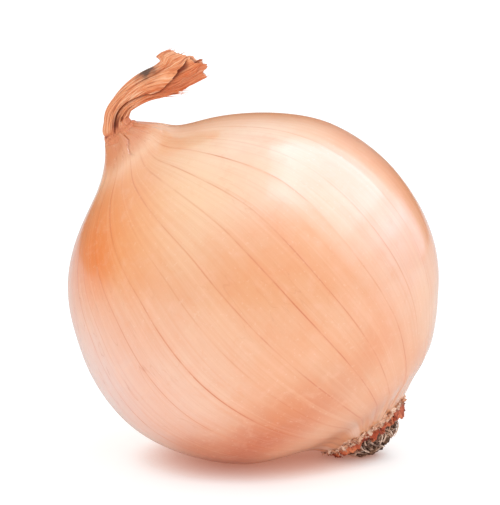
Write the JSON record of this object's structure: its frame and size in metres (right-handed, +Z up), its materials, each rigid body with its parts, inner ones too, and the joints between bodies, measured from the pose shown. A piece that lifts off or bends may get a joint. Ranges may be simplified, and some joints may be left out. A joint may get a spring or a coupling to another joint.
{
  "type": "onion",
  "caption": "Dry yellow onion lying tilted on its belly: round bulb with a bent, withered neck and a short matted root tuft.",
  "frame": {"origin": "on the surface the onion rests on, under the middle of its bounding box", "axes": "+Z up as it rests, -X towards the leaning neck, +X towards the roots, +Y along the level way across it"},
  "size_m": [0.0806, 0.08, 0.0905],
  "materials": {
    "dry_skin": "thin papery skin with a satin sheen and fine lengthwise veins",
    "dry_leaf": "dry, fibrous and matt",
    "torn_scale": "dry and matt, torn edge",
    "cork": "rough and corky",
    "dry_root": "dry and matt"
  },
  "bodies": {
    "root": {"bulb": "dry_skin", "dry_neck": "dry_leaf", "torn_scale_rim": "torn_scale", "root_plate": "cork", "root_tuft": "dry_root"}
  },
  "joints": []
}
